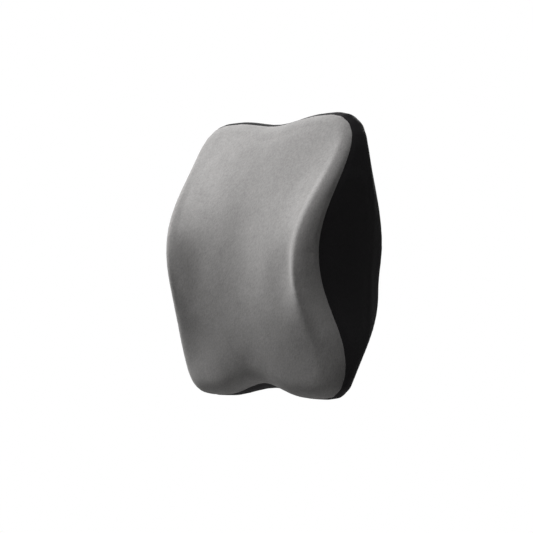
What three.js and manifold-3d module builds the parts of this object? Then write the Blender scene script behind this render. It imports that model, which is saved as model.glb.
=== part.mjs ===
// Car neck pillow: a moulded foam core in a zipped cover, with an elastic strap and a side-release buckle
// across its back. Millimetres, +Z up, +X to the right seen from the front, +Y out of the back.
// The origin lies on the back face, in the middle of the strap.

import * as THREE from "three";
import { mergeVertices } from "three/addons/utils/BufferGeometryUtils.js";
import Module from "manifold-3d";

const wasm = await Module();
wasm.setup();

// Outline of the pillow seen from the front. Heights are measured from its middle.
const HEIGHT = 300;
const HALF_WIDTH = 116; // across the top lobes
const WAIST_INSET = 13.5; // how far the waist and the bottom lobes lie inside the top lobes
const HIP_INSET = 4;
const WAIST_Z = -35;
const TOP_CORNER_WIDTH = 40; // of the rounded corners outside the dips
const TOP_CORNER_HEIGHT = 45;
const BOTTOM_CORNER_WIDTH = 30;
const BOTTOM_CORNER_HEIGHT = 40;
const CORNER_POWER = 2.6; // 2 for a round corner, more for a squarer one
const LOBE_WIDTH = 54; // from the side to where the dip between two lobes starts
const TOP_DIP = 8.5;
const BOTTOM_DIP = 15;
const BACK_TOP_DIP = 5.5; // the same dips at the back, where they are shallower
const BACK_BOTTOM_DIP = 5;

const WAIST_HALF = HALF_WIDTH - WAIST_INSET;
const HIP_HALF = HALF_WIDTH - HIP_INSET;
const SHOULDER_Z = HEIGHT / 2 - TOP_CORNER_HEIGHT;
const HIP_Z = BOTTOM_CORNER_HEIGHT - HEIGHT / 2;
const TOP_PEAK_X = HALF_WIDTH - TOP_CORNER_WIDTH;
const BOTTOM_PEAK_X = HIP_HALF - BOTTOM_CORNER_WIDTH;
const DIP_HALF = HALF_WIDTH - LOBE_WIDTH;

// Side view: depths in front of and behind the plane of the outline.
const WING_DEPTH = 76.5; // the two ridges that hold the neck, at mid height
const CRADLE_DEPTH = 52; // the hollow between them
const TOP_DEPTH = 19;
const BOTTOM_DEPTH = 26;
const BACK_DEPTH = 63;
const BACK_TOP_DEPTH = 18;
const BACK_BOTTOM_DEPTH = 21;
const BACK_FLAT_Z = -18; // middle of the flat band across the back, where the strap lies
const BACK_FLAT_HALF = 24;
const BACK_FALL_UP = 115; // height over which the back falls away above and below that band
const BACK_FALL_DOWN = 88;
const BACK_STRAIGHTNESS = 0.4; // 0 for a fall as smooth as a wave, 1 for a straight slope
const FRONT_RADIUS = 16;
const BACK_RADIUS = 20;
const SIDE_BULGE = 3;

// Seam between the front panel and the side band.
const SEAM_DEPTH = 48;
const SEAM_TOP_DEPTH = 13;
const SEAM_BOTTOM_DEPTH = 4.5;
const SEAM_PEAK_Z = 12;
const SEAM_FALL_UP = 128;
const SEAM_FALL_DOWN = 138;
const BACK_SEAM_DROP = 4; // how far the seam round the back lies in front of the back face

const COVER = 2; // thickness of the padded cover fabric
const GAP = 0.3; // between pieces that touch
const RECESS_ROOM = 1; // round the zipper in the foam

// Zipper, across the upper half of the back. Its chain is centred on the slope's straightest line.
const ZIP_Z = BACK_FLAT_Z + BACK_FLAT_HALF + BACK_FALL_UP / 2;
const ZIP_INSET = 41; // from the side of the pillow to the end of the chain
const ZIP_LENGTH = 2 * (HALF_WIDTH - ZIP_INSET);
const TOOTH_PITCH = 3;
const TOOTH_NECK = 0.4; // half widths
const TOOTH_HEAD = 0.62;
const TOOTH_TIP = 0.35;
const TOOTH_REACH = 0.6; // how far a tooth crosses the middle
const BEAD_INNER = 1.25; // the tape's corded edge, measured from the middle
const BEAD_OUTER = 2.35;
const TAPE_EDGE = 13.5;
const TAPE_THICKNESS = 0.7;
const TAPE_DROP = 2.9; // from the outer face of the cover down to the tape
const TAPE_OVERRUN = 12; // tape beyond each end of the chain
const CHAIN_THICKNESS = 1.6;
const WINDOW_HALF = 4.7; // half the gap between the two folded cover edges
const WINDOW_RADIUS = 3;
const WINDOW_MARGIN = 3.5; // from each end of that gap to the end of the tape
const STOP_LENGTH = 2.4;
const STOP_WALL = 0.6;

const SLIDER_LENGTH = 11;
const SLIDER_FRONT_HALF = 4.4;
const SLIDER_REAR_HALF = 3.6;
const SLIDER_PLATE = 1;
const SLIDER_NECK = 2.5; // from the slider's middle to its neck
const BRIDGE_HALF_LENGTH = 4;
const BRIDGE_HALF_WIDTH = 0.9;
const BRIDGE_THICKNESS = 0.9;
const PULL_LENGTH = 24;
const PULL_HALF_WIDTH = 3;
const PULL_THICKNESS = 1.1;
const PULL_LIFT = 0.95; // height of its pivot above the cover
const PULL_BAR = 0.5; // half the thickness of the bar in the bridge
const PULL_ARM = 1; // width of each arm beside the eye

// Strap and buckle. The strap bows off the back by LOOP_OUT at the buckle.
const STRAP_WIDTH = 25;
const STRAP_THICKNESS = 1.6;
const LOOP_OUT = 13;
const TAB_INSET = 34; // from the side of the pillow to the end of the part sewn to the back
const TAB_LENGTH = 18;
const TAB_END_X = HALF_WIDTH - TAB_INSET;
const TAB_START_X = TAB_END_X - TAB_LENGTH;
const RUN_X = 36; // inside this the strap runs straight
const FOLD_LENGTH = 18; // of the left strap, sewn back on itself beyond its bar
const KEEPER_X = (TAB_START_X + RUN_X) / 2;
const TAIL_LENGTH = 9; // of the right strap, beyond the keeper's middle
const KEEPER_LENGTH = 6;
const KEEPER_WALL = 1;

const BUCKLE_HALF_WIDTH = 16.5;
const BUCKLE_THICKNESS = 9;
const BUCKLE_BEVEL = 1;
const BUCKLE_ROUNDED = 4; // radius of the corners at its outer ends
const BUCKLE_MOUTH_RADIUS = 2.5;
const SOCKET_END_X = -26;
const MOUTH_X = 5;
const PLUG_END_X = 21;
const WEB_BAR = 3; // width and thickness of the bar the strap goes round
const WEB_SLOT = 4.5;
const WEB_LEAD = 4.5; // from the bar to where the strap's two layers have nearly closed
const WEB_CLOSED = 8; // from the bar to where they lie together
const CAVITY_HALF_WIDTH = 13.6;
const CAVITY_HALF_HEIGHT = 2.7;
const CAVITY_END_X = -17;
const WINDOW_REAR_X = -14;
const WINDOW_FRONT_X = -4;
const ARM_HALF_HEIGHT = 2.3;
const ARM_INNER = 8.8;
const ARM_OUTER = 12;
const BARB_OUTER = 15.8;
const TONGUE_HALF = 2.5;
const TONGUE_HALF_HEIGHT = 2;
const TONGUE_RADIUS = 1.8;

// The back's rows run round a level line of this half length, so that the flat band is a true plane.
const SPINE_HALF = 60;
const BAND_ROWS = [0.12, 0.165]; // the first rows, as shares of the way from that line to the rounded edge

// How finely the soft forms are divided.
const AROUND = 72;
const RIM_STEPS = 5;
const FACE_STEPS = 8;
const LINING_RIM_STEPS = 4;
const LINING_FACE_STEPS = 6;
const SIDE_STEPS = 4;
const BACK_RIM_STEPS = 3;
const BACK_FACE_STEPS = 6;
const CORNER_STEPS = 16;
const LOOP_STEPS = 8;
const RISE_STEPS = 10;

const V2 = (x, z) => new THREE.Vector2(x, z);

const black = (roughness) => new THREE.MeshStandardMaterial({ color: 0x141315, roughness, metalness: 0 });
const velour = new THREE.MeshStandardMaterial({ color: 0x8f8e8d, roughness: 0.95, metalness: 0 });
const knit = black(0.9);
const webbing = black(0.85);
const plastic = black(0.45);
const foam = new THREE.MeshStandardMaterial({ color: 0xe6e0cf, roughness: 1, metalness: 0 });
const metal = new THREE.MeshStandardMaterial({ color: 0x2a2a2c, roughness: 0.35, metalness: 0.8 });

// A smooth hump: 1 at 0, falling to 0 at -1 and 1.
const hump = (s) => Math.cos((Math.PI / 2) * THREE.MathUtils.clamp(s, -1, 1)) ** 2;
const mix = THREE.MathUtils.lerp;

// Form of the pillow

function sideHalf(z) {
  const up = z > WAIST_Z;
  const widest = up ? HALF_WIDTH : HIP_HALF;
  const reach = (up ? SHOULDER_Z : HIP_Z) - WAIST_Z;
  return mix(widest, WAIST_HALF, hump((z - WAIST_Z) / reach));
}

function outline() {
  const top = HEIGHT / 2;
  const half = [];
  const each = (draw) => {
    for (let k = 0; k <= CORNER_STEPS; k++) half.push(draw(k / CORNER_STEPS));
  };
  each((s) => V2(DIP_HALF * s, top - TOP_DIP * hump(s)));
  const bend = (share) => Math.max(0, share) ** (2 / CORNER_POWER);
  each((s) => {
    const a = (s * Math.PI) / 2;
    const x = mix(TOP_PEAK_X, HALF_WIDTH, bend(Math.sin(a)));
    return V2(x, mix(SHOULDER_Z, top, bend(Math.cos(a))));
  });
  each((s) => {
    const z = mix(SHOULDER_Z, HIP_Z, s);
    return V2(sideHalf(z), z);
  });
  each((s) => {
    const a = (s * Math.PI) / 2;
    const x = mix(BOTTOM_PEAK_X, HIP_HALF, bend(Math.cos(a)));
    return V2(x, mix(HIP_Z, -top, bend(Math.sin(a))));
  });
  each((s) => V2(DIP_HALF * (1 - s), -top + BOTTOM_DIP * hump(1 - s)));
  const right = new THREE.Path().setFromPoints(half).getSpacedPoints(AROUND / 2);
  const left = right.slice(1, -1).reverse();
  return [...right, ...left.map((p) => V2(-p.x, p.y))];
}

// Moves a point of the outline to where it lies at the back.
function levelled(p) {
  const filled = p.y > 0 ? TOP_DIP - BACK_TOP_DIP : BACK_BOTTOM_DIP - BOTTOM_DIP;
  return V2(p.x, p.y + filled * hump(p.x / DIP_HALF));
}

function frontDepth(x, z) {
  const end = z > 0 ? TOP_DEPTH : BOTTOM_DEPTH;
  const height = z / (HEIGHT / 2);
  const wing = mix(end, WING_DEPTH, hump(height));
  const cradle = mix(end, CRADLE_DEPTH, Math.max(0, 1 - height * height));
  const across = Math.min(1, Math.abs(x) / (sideHalf(z) - FRONT_RADIUS));
  return mix(wing, cradle, (1 - across * across) ** 1.2);
}

function backDepth(z) {
  const beyond = Math.max(0, Math.abs(z - BACK_FLAT_Z) - BACK_FLAT_HALF);
  const up = z > BACK_FLAT_Z;
  const fallen = Math.min(1, beyond / (up ? BACK_FALL_UP : BACK_FALL_DOWN));
  const end = up ? BACK_TOP_DEPTH : BACK_BOTTOM_DEPTH;
  return mix(end, BACK_DEPTH, mix(hump(fallen), 1 - fallen, BACK_STRAIGHTNESS));
}

function seamDepth(z) {
  const up = z > SEAM_PEAK_Z;
  const end = up ? SEAM_TOP_DEPTH : SEAM_BOTTOM_DEPTH;
  return mix(end, SEAM_DEPTH, hump((z - SEAM_PEAK_Z) / (up ? SEAM_FALL_UP : SEAM_FALL_DOWN)));
}

// How far a rounded edge of this radius has drawn in at a given drop below the face.
const edgeInset = (drop, radius) => {
  const up = Math.max(0, radius - Math.max(0, drop));
  return radius - Math.sqrt(radius * radius - up * up);
};

const EDGE = outline();
const BACK_EDGE = EDGE.map(levelled);
const shrink = (p, by) => p.clone().multiplyScalar(1 - by / p.length());
const at = (p, depth) => new THREE.Vector3(p.x, -BACK_DEPTH - depth, p.y);

// A point a given drop below the front face, in the form drawn in by `inset`.
function frontPoint(p, inset, drop) {
  const q = shrink(p, inset + edgeInset(drop, FRONT_RADIUS - inset));
  return at(q, frontDepth(q.x, q.y) - inset - drop);
}

function backPoint(p, inset, drop) {
  const q = shrink(p, inset + edgeInset(drop, BACK_RADIUS - inset));
  return at(q, -(backDepth(q.y) - inset - drop));
}

const seamDrop = (p, inset) => frontDepth(p.x, p.y) - inset - seamDepth(p.y);
const moved = (dy) => (point) => point.setY(point.y + dy);

// Rings from the front seam to the middle of the face.
function frontRings(inset, rimSteps, faceSteps) {
  const rings = [];
  for (let k = 0; k <= rimSteps; k++) {
    const share = 1 - Math.sin((Math.PI / 2) * (k / rimSteps));
    rings.push(EDGE.map((p) => frontPoint(p, inset, seamDrop(p, inset) * share)));
  }
  for (let k = 1; k < faceSteps; k++) {
    const share = 1 - k / faceSteps;
    rings.push(
      EDGE.map((p) => {
        const q = shrink(p, FRONT_RADIUS).multiplyScalar(share);
        return at(q, frontDepth(q.x, q.y) - inset);
      }),
    );
  }
  rings.push([at(V2(0, 0), frontDepth(0, 0) - inset)]);
  return rings;
}

// Rings from the middle of the back face out to the back seam.
function backRings(inset, rimSteps, faceSteps) {
  const onFace = (q) => at(q, -(backDepth(q.y) - inset));
  const spine = (q) => V2(THREE.MathUtils.clamp(q.x, -SPINE_HALF, SPINE_HALF), BACK_FLAT_Z);
  const rings = [[onFace(V2(0, BACK_FLAT_Z))]];
  const last = BAND_ROWS[BAND_ROWS.length - 1];
  const shares = Array.from({ length: faceSteps - 1 }, (_, k) => mix(last, 1, (k + 1) / faceSteps));
  for (const share of [...BAND_ROWS, ...shares]) {
    rings.push(
      BACK_EDGE.map((p) => {
        const q = shrink(p, BACK_RADIUS);
        return onFace(spine(q).lerp(q, share));
      }),
    );
  }
  for (let k = 0; k <= rimSteps; k++) {
    const drop = (BACK_SEAM_DROP - inset) * (1 - Math.cos((Math.PI / 2) * (k / rimSteps)));
    rings.push(BACK_EDGE.map((p) => backPoint(p, inset, drop)));
  }
  return rings;
}

// Rings across the side, strictly between the front seam and the back seam.
function sideRings(inset, steps) {
  const rings = [];
  for (let k = 1; k < steps; k++) {
    const s = k / steps;
    rings.push(
      EDGE.map((p, j) => {
        const front = frontPoint(p, inset, seamDrop(p, inset));
        const back = backPoint(BACK_EDGE[j], inset, BACK_SEAM_DROP - inset);
        const y = mix(front.y, back.y, s);
        const frontDrop = frontDepth(p.x, p.y) - inset + y + BACK_DEPTH;
        const backDrop = backDepth(p.y) - inset - y - BACK_DEPTH;
        const drawnIn = Math.max(
          edgeInset(frontDrop, FRONT_RADIUS - inset),
          edgeInset(backDrop, BACK_RADIUS - inset),
        );
        const bulge = SIDE_BULGE * hump(2 * s - 1) * hump((2 * p.y) / HEIGHT);
        const q = shrink(p.clone().lerp(BACK_EDGE[j], s), inset + drawnIn - bulge);
        return new THREE.Vector3(q.x, y, q.y);
      }),
    );
  }
  return rings;
}

// Triangles over a run of rings. A ring of one point is a pole; a closed run joins its last ring to its
// first. Each four-sided patch folds along the diagonal that stands farther out, so an inset skin folds as
// its outer one does.
function skin(rings, closed = false) {
  const middle = new THREE.Vector3(0, -BACK_DEPTH, 0);
  const starts = [];
  const points = [];
  for (const ring of rings) {
    starts.push(points.length);
    points.push(...ring);
  }
  const faces = [];
  const runs = closed ? rings.length : rings.length - 1;
  for (let r = 0; r < runs; r++) {
    const next = (r + 1) % rings.length;
    const index = (ring, j) => starts[ring] + (rings[ring].length === 1 ? 0 : j % AROUND);
    for (let j = 0; j < AROUND; j++) {
      const [a, b, c, d] = [index(r, j), index(r, j + 1), index(next, j + 1), index(next, j)];
      const out = (m, n) => points[m].clone().add(points[n]).multiplyScalar(0.5).distanceTo(middle);
      if (a === b) faces.push(b, c, d);
      else if (c === d) faces.push(a, b, d);
      else if (out(a, c) > out(b, d)) faces.push(a, b, c, a, c, d);
      else faces.push(a, b, d, b, c, d);
    }
  }
  const geometry = new THREE.BufferGeometry().setFromPoints(points);
  geometry.setIndex(faces);
  return geometry;
}

// Solids

function solidOf(geometry) {
  const bare = (geometry.index ? geometry.toNonIndexed() : geometry.clone()).deleteAttribute("normal");
  bare.deleteAttribute("uv");
  const merged = mergeVertices(bare, 1e-4);
  const mesh = new wasm.Mesh({
    numProp: 3,
    vertProperties: merged.attributes.position.array,
    triVerts: new Uint32Array(merged.index.array),
  });
  return new wasm.Manifold(mesh);
}

function geometryOf(solid) {
  const { vertProperties, triVerts } = solid.getMesh();
  const geometry = new THREE.BufferGeometry();
  geometry.setAttribute("position", new THREE.BufferAttribute(new Float32Array(vertProperties), 3));
  geometry.setIndex(new THREE.BufferAttribute(new Uint32Array(triVerts), 1));
  return geometry.toNonIndexed();
}

const minus = (solid, ...tools) => tools.reduce((left, tool) => left.subtract(tool), solid);
const plus = (solid, ...others) => others.reduce((whole, other) => whole.add(other), solid);

// A box from its low and high corner.
function block([x0, y0, z0], [x1, y1, z1]) {
  const box = new THREE.BoxGeometry(x1 - x0, y1 - y0, z1 - z0);
  return box.translate((x0 + x1) / 2, (y0 + y1) / 2, (z0 + z1) / 2);
}

const solidBlock = (low, high) => solidOf(block(low, high));

// Extrudes an outline of (x, z) points from y0 to y1.
function plate(points, y0, y1, bevel = 0) {
  const shape = points instanceof THREE.Shape ? points : new THREE.Shape(points);
  const geometry = new THREE.ExtrudeGeometry(shape, {
    depth: y1 - y0 - 2 * bevel,
    bevelEnabled: bevel > 0,
    bevelSize: bevel,
    bevelOffset: -bevel,
    bevelThickness: bevel,
    bevelSegments: 2,
    curveSegments: 5,
  });
  return geometry.rotateX(Math.PI / 2).translate(0, y1 - bevel, 0);
}

// A box's outline with its corners rounded, each end of the box with its own radius.
function roundedOutline(x0, x1, half, r0, r1) {
  const s = new THREE.Shape();
  s.moveTo(x0 + r0, -half);
  s.lineTo(x1 - r1, -half);
  s.absarc(x1 - r1, -half + r1, r1, -Math.PI / 2, 0);
  s.lineTo(x1, half - r1);
  s.absarc(x1 - r1, half - r1, r1, 0, Math.PI / 2);
  s.lineTo(x0 + r0, half);
  s.absarc(x0 + r0, half - r0, r0, Math.PI / 2, Math.PI);
  s.lineTo(x0, -half + r0);
  s.absarc(x0 + r0, -half + r0, r0, Math.PI, 1.5 * Math.PI);
  return s;
}

function piece(name, shape, material) {
  const geometry = shape.isBufferGeometry ? shape : geometryOf(shape);
  const mesh = new THREE.Mesh(geometry, material);
  mesh.name = name;
  return mesh;
}

// Foam and cover

const zipSlope = Math.atan((backDepth(ZIP_Z - 1) - backDepth(ZIP_Z + 1)) / 2);

// Moves a geometry from the zipper's frame (x along it, y out of the cover, z up the slope) to the pillow's.
function onSlope(geometry) {
  return geometry.rotateX(zipSlope).translate(0, backDepth(ZIP_Z) - BACK_DEPTH, ZIP_Z);
}

const tapeEndX = ZIP_LENGTH / 2 + TAPE_OVERRUN;
const tapeBottom = -TAPE_DROP - TAPE_THICKNESS;
const chainMiddle = -TAPE_DROP - TAPE_THICKNESS / 2;
const chainTop = chainMiddle + CHAIN_THICKNESS / 2;
const chainBottom = chainMiddle - CHAIN_THICKNESS / 2;
const sliderTop = chainTop + GAP + SLIDER_PLATE;
const sliderBottom = chainBottom - GAP - SLIDER_PLATE;
const FAR = 400;

function foamCore() {
  const inset = COVER + GAP;
  const back = backRings(inset, BACK_RIM_STEPS, BACK_FACE_STEPS).reverse();
  const front = frontRings(inset, LINING_RIM_STEPS, LINING_FACE_STEPS).reverse();
  const core = solidOf(skin([...front, ...sideRings(inset, SIDE_STEPS), ...back]));
  const recess = (bottom, half) => {
    const reach = tapeEndX + RECESS_ROOM;
    const room = block([-reach, bottom - GAP, -half - RECESS_ROOM], [reach, COVER, half + RECESS_ROOM]);
    return solidOf(onSlope(room));
  };
  return minus(core, recess(tapeBottom, TAPE_EDGE), recess(sliderBottom, SLIDER_FRONT_HALF));
}

function frontPanel() {
  const outer = frontRings(0, RIM_STEPS, FACE_STEPS).reverse();
  const inner = frontRings(COVER, LINING_RIM_STEPS, LINING_FACE_STEPS);
  const rings = [...outer, ...inner];
  rings.forEach((ring) => ring.forEach(moved(-GAP / 2)));
  return skin(rings);
}

function sideBand() {
  const side = (inset, steps) => [
    EDGE.map((p) => frontPoint(p, inset, seamDrop(p, inset))).map(moved(GAP / 2)),
    ...sideRings(inset, steps),
    BACK_EDGE.map((p) => backPoint(p, inset, BACK_SEAM_DROP - inset)).map(moved(-GAP / 2)),
  ];
  return skin([...side(0, SIDE_STEPS), ...side(COVER, SIDE_STEPS).reverse()], true);
}

// The back is two panels that meet in one seam across it, with the zipper set into the middle of that seam.
function backPanels() {
  const inner = backRings(COVER, BACK_RIM_STEPS, BACK_FACE_STEPS);
  const outer = backRings(0, BACK_RIM_STEPS, BACK_FACE_STEPS).reverse();
  const rings = [...inner, ...outer];
  rings.forEach((ring) => ring.forEach(moved(GAP / 2)));
  const whole = solidOf(skin(rings));
  const seam = block([-FAR, -FAR, -GAP / 2], [FAR, FAR, GAP / 2]);
  const windowEnd = tapeEndX - WINDOW_MARGIN;
  const opening = roundedOutline(-windowEnd, windowEnd, WINDOW_HALF, WINDOW_RADIUS, WINDOW_RADIUS);
  const through = 4 * COVER;
  const window = plate(opening, -through, through);
  const halves = minus(whole, solidOf(onSlope(seam)), solidOf(onSlope(window))).decompose();
  return halves.sort((a, b) => b.boundingBox().max[2] - a.boundingBox().max[2]);
}

// Zipper, in its own frame: x along the chain, y out of the cover, z across it

// One row of teeth with the bead that carries it, as a comb. `side` is 1 for the upper row, -1 for the lower.
function teethRow(side) {
  const end = tapeEndX - GAP;
  const points = [V2(-end, BEAD_OUTER), V2(-end, BEAD_INNER)];
  const count = Math.floor(ZIP_LENGTH / TOOTH_PITCH);
  const start = -ZIP_LENGTH / 2 + (side > 0 ? TOOTH_PITCH / 4 : (3 * TOOTH_PITCH) / 4);
  for (let k = 0; k < count; k++) {
    const x = start + k * TOOTH_PITCH;
    const tooth = [
      [-TOOTH_NECK, BEAD_INNER],
      [-TOOTH_HEAD, 0],
      [-TOOTH_TIP, -TOOTH_REACH],
      [TOOTH_TIP, -TOOTH_REACH],
      [TOOTH_HEAD, 0],
      [TOOTH_NECK, BEAD_INNER],
    ];
    tooth.forEach(([dx, z]) => points.push(V2(x + dx, z)));
  }
  points.push(V2(end, BEAD_INNER), V2(end, BEAD_OUTER));
  const facing = points.map((p) => V2(p.x, side * p.y));
  return plate(facing, chainBottom, chainTop);
}

const tape = (side) => {
  const inner = BEAD_OUTER + GAP;
  const [low, high] = side > 0 ? [inner, TAPE_EDGE] : [-TAPE_EDGE, -inner];
  return block([-tapeEndX, tapeBottom, low], [tapeEndX, -TAPE_DROP, high]);
};

// A metal clip crimped round one bead, or round both at the bottom of the chain, open towards the tapes.
function stop(x, sides) {
  const inner = BEAD_INNER - GAP;
  const outer = BEAD_OUTER + GAP;
  const low = sides.includes(-1) ? -outer : inner - STOP_WALL;
  const high = sides.includes(1) ? outer : STOP_WALL - inner;
  const clip = solidBlock(
    [x, chainBottom - GAP - STOP_WALL, low],
    [x + STOP_LENGTH, chainTop + GAP + STOP_WALL, high],
  );
  const tunnels = sides.map((side) => {
    const [from, to] = side > 0 ? [inner, outer + 1] : [-outer - 1, -inner];
    return solidBlock([x - 1, chainBottom - GAP, from], [x + STOP_LENGTH + 1, chainTop + GAP, to]);
  });
  return minus(clip, ...tunnels);
}

const sliderX = ZIP_LENGTH / 2 - SLIDER_NECK + GAP;

function slider() {
  const half = SLIDER_LENGTH / 2;
  const wing = [
    [-half, -SLIDER_REAR_HALF],
    [-1, -SLIDER_REAR_HALF],
    [half - 3, -SLIDER_FRONT_HALF],
    [half - 1, -SLIDER_FRONT_HALF],
    [half, -SLIDER_FRONT_HALF + 1.4],
    [half, SLIDER_FRONT_HALF - 1.4],
    [half - 1, SLIDER_FRONT_HALF],
    [half - 3, SLIDER_FRONT_HALF],
    [-1, SLIDER_REAR_HALF],
    [-half, SLIDER_REAR_HALF],
  ].map(([x, z]) => V2(x, z));
  const body = solidOf(plate(wing, sliderBottom, sliderTop));
  const channelHalf = BEAD_OUTER + GAP;
  const channel = solidBlock(
    [-half - 1, chainBottom - GAP, -channelHalf],
    [half + 1, chainTop + GAP, channelHalf],
  );
  const tapeSlot = solidBlock([-half - 1, tapeBottom - GAP, -10], [half + 1, -TAPE_DROP + GAP, 10]);
  const neck = plate(
    [
      [SLIDER_NECK, 0],
      [SLIDER_NECK + 1, -0.9],
      [half, -0.5],
      [half, 0.5],
      [SLIDER_NECK + 1, 0.9],
    ].map(([x, z]) => V2(x, z)),
    sliderBottom,
    sliderTop,
  );
  const bridgeTop = PULL_LIFT + PULL_BAR + GAP + 0.15 + BRIDGE_THICKNESS;
  const arch = [
    [-BRIDGE_HALF_LENGTH, sliderTop - 0.2],
    [-BRIDGE_HALF_LENGTH, bridgeTop - 1],
    [-BRIDGE_HALF_LENGTH + 1, bridgeTop],
    [BRIDGE_HALF_LENGTH - 1, bridgeTop],
    [BRIDGE_HALF_LENGTH, bridgeTop - 1],
    [BRIDGE_HALF_LENGTH, sliderTop - 0.2],
    [BRIDGE_HALF_LENGTH - BRIDGE_THICKNESS, sliderTop - 0.2],
    [BRIDGE_HALF_LENGTH - BRIDGE_THICKNESS, bridgeTop - BRIDGE_THICKNESS],
    [-BRIDGE_HALF_LENGTH + BRIDGE_THICKNESS, bridgeTop - BRIDGE_THICKNESS],
    [-BRIDGE_HALF_LENGTH + BRIDGE_THICKNESS, sliderTop - 0.2],
  ].map(([x, y]) => V2(x, y));
  const bridge = new THREE.ExtrudeGeometry(new THREE.Shape(arch), {
    depth: 2 * BRIDGE_HALF_WIDTH,
    bevelEnabled: false,
  }).translate(0, 0, -BRIDGE_HALF_WIDTH);
  return plus(minus(body, channel, tapeSlot), solidOf(neck), solidOf(bridge)).translate([sliderX, 0, 0]);
}

// The pull lies back along the closed chain, its bar under the slider's bridge.
function pull() {
  const eyeEnd = Math.hypot(BRIDGE_HALF_LENGTH, PULL_LIFT + 1) + GAP + 0.3;
  const tab = new THREE.Shape();
  const tip = PULL_HALF_WIDTH;
  tab.moveTo(PULL_BAR, -BRIDGE_HALF_WIDTH - GAP - PULL_ARM);
  tab.lineTo(PULL_BAR, BRIDGE_HALF_WIDTH + GAP + PULL_ARM);
  tab.lineTo(-eyeEnd, BRIDGE_HALF_WIDTH + GAP + PULL_ARM);
  tab.lineTo(-eyeEnd - 3, PULL_HALF_WIDTH);
  tab.lineTo(-PULL_LENGTH + tip, PULL_HALF_WIDTH);
  tab.absarc(-PULL_LENGTH + tip, 0, tip, Math.PI / 2, 1.5 * Math.PI);
  tab.lineTo(-eyeEnd - 3, -PULL_HALF_WIDTH);
  tab.lineTo(-eyeEnd, -BRIDGE_HALF_WIDTH - GAP - PULL_ARM);
  const eye = roundedOutline(-eyeEnd, -PULL_BAR, BRIDGE_HALF_WIDTH + GAP, 0.4, 0.4);
  tab.holes.push(new THREE.Path(eye.getPoints(2)));
  const grip = roundedOutline(-PULL_LENGTH + 2.4, -PULL_LENGTH + 7, 1.3, 1.2, 1.2);
  tab.holes.push(new THREE.Path(grip.getPoints(3)));
  return plate(tab, PULL_LIFT - PULL_THICKNESS / 2, PULL_LIFT + PULL_THICKNESS / 2).translate(sliderX, 0, 0);
}

// Strap, in the frame of the back's flat band: x across, y out of the back

const layerApart = STRAP_THICKNESS + GAP;
const tabY = GAP + STRAP_THICKNESS / 2;

// Height of the strap's inner layer over the back at x: flat where it is sewn down, then rising to the
// straight run.
function strapY(x) {
  const rise = THREE.MathUtils.clamp((TAB_START_X - Math.abs(x)) / (TAB_START_X - RUN_X), 0, 1);
  return mix(tabY, LOOP_OUT - layerApart / 2, 1 - hump(rise));
}

const strapSlope = (x) => (strapY(x + 0.01) - strapY(x - 0.01)) / 0.02;

// Centre line of the right half, from its sewn end, round the web bar at barX and back to tailX outside.
function strapLine(barX, tailX) {
  const line = [V2(TAB_END_X, tabY)];
  for (let k = 0; k <= RISE_STEPS; k++) {
    const x = mix(TAB_START_X, RUN_X, k / RISE_STEPS);
    line.push(V2(x, strapY(x)));
  }
  const loop = WEB_BAR * Math.SQRT1_2 + GAP + STRAP_THICKNESS / 2;
  const near = layerApart / 2;
  const closing = mix(near, loop, 0.6);
  line.push(V2(barX + WEB_CLOSED, LOOP_OUT - near), V2(barX + WEB_LEAD, LOOP_OUT - closing));
  for (let k = 0; k <= LOOP_STEPS; k++) {
    const a = -Math.PI / 2 - (Math.PI * k) / LOOP_STEPS;
    line.push(V2(barX + loop * Math.cos(a), LOOP_OUT + loop * Math.sin(a)));
  }
  line.push(V2(barX + WEB_LEAD, LOOP_OUT + closing), V2(barX + WEB_CLOSED, LOOP_OUT + near));
  const outer = Math.max(1, Math.round((tailX - RUN_X) / 3));
  if (tailX <= RUN_X) line.push(V2(tailX, LOOP_OUT + near));
  else
    for (let k = 0; k <= outer; k++) {
      const x = mix(RUN_X, tailX, k / outer);
      const away = V2(-strapSlope(x), 1).normalize().multiplyScalar(layerApart);
      line.push(V2(x, strapY(x)).add(away));
    }
  return line;
}

// A ribbon of a given thickness and width that follows a line in the x, y plane. `mirror` makes the left one.
function ribbon(line, thickness, width, mirror = 1) {
  const side = (sign) =>
    line.map((p, k) => {
      const before = line[Math.max(0, k - 1)];
      const after = line[Math.min(line.length - 1, k + 1)];
      const along = after.clone().sub(before).normalize();
      return V2(p.x - (sign * along.y * thickness) / 2, p.y + (sign * along.x * thickness) / 2);
    });
  const points = [...side(1), ...side(-1).reverse()].map((p) => V2(mirror * p.x, p.y));
  const geometry = new THREE.ExtrudeGeometry(new THREE.Shape(points), { depth: width, bevelEnabled: false });
  return geometry.translate(0, 0, -width / 2);
}

// A loop of elastic round both layers that holds the tail down.
function keeper() {
  const middle = (x) => {
    const away = V2(-strapSlope(x), 1).normalize().multiplyScalar(layerApart / 2);
    return V2(x, strapY(x)).add(away);
  };
  const from = KEEPER_X - KEEPER_LENGTH / 2;
  const line = [0, 0.5, 1].map((s) => middle(from + s * KEEPER_LENGTH));
  const longer = [-0.4, 0, 0.5, 1, 1.4].map((s) => middle(from + s * KEEPER_LENGTH));
  const inside = 2 * STRAP_THICKNESS + 3 * GAP;
  const wall = 2 * KEEPER_WALL;
  const outside = solidOf(ribbon(line, inside + wall, STRAP_WIDTH + 2 * GAP + wall));
  return minus(outside, solidOf(ribbon(longer, inside, STRAP_WIDTH + 2 * GAP)));
}

// Buckle, in the strap's frame with y = 0 at the middle of the buckle

const buckleShell = (x0, x1, r0, r1) =>
  solidOf(
    plate(
      roundedOutline(x0, x1, BUCKLE_HALF_WIDTH, r0, r1),
      -BUCKLE_THICKNESS / 2,
      BUCKLE_THICKNESS / 2,
      BUCKLE_BEVEL,
    ),
  );

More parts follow.
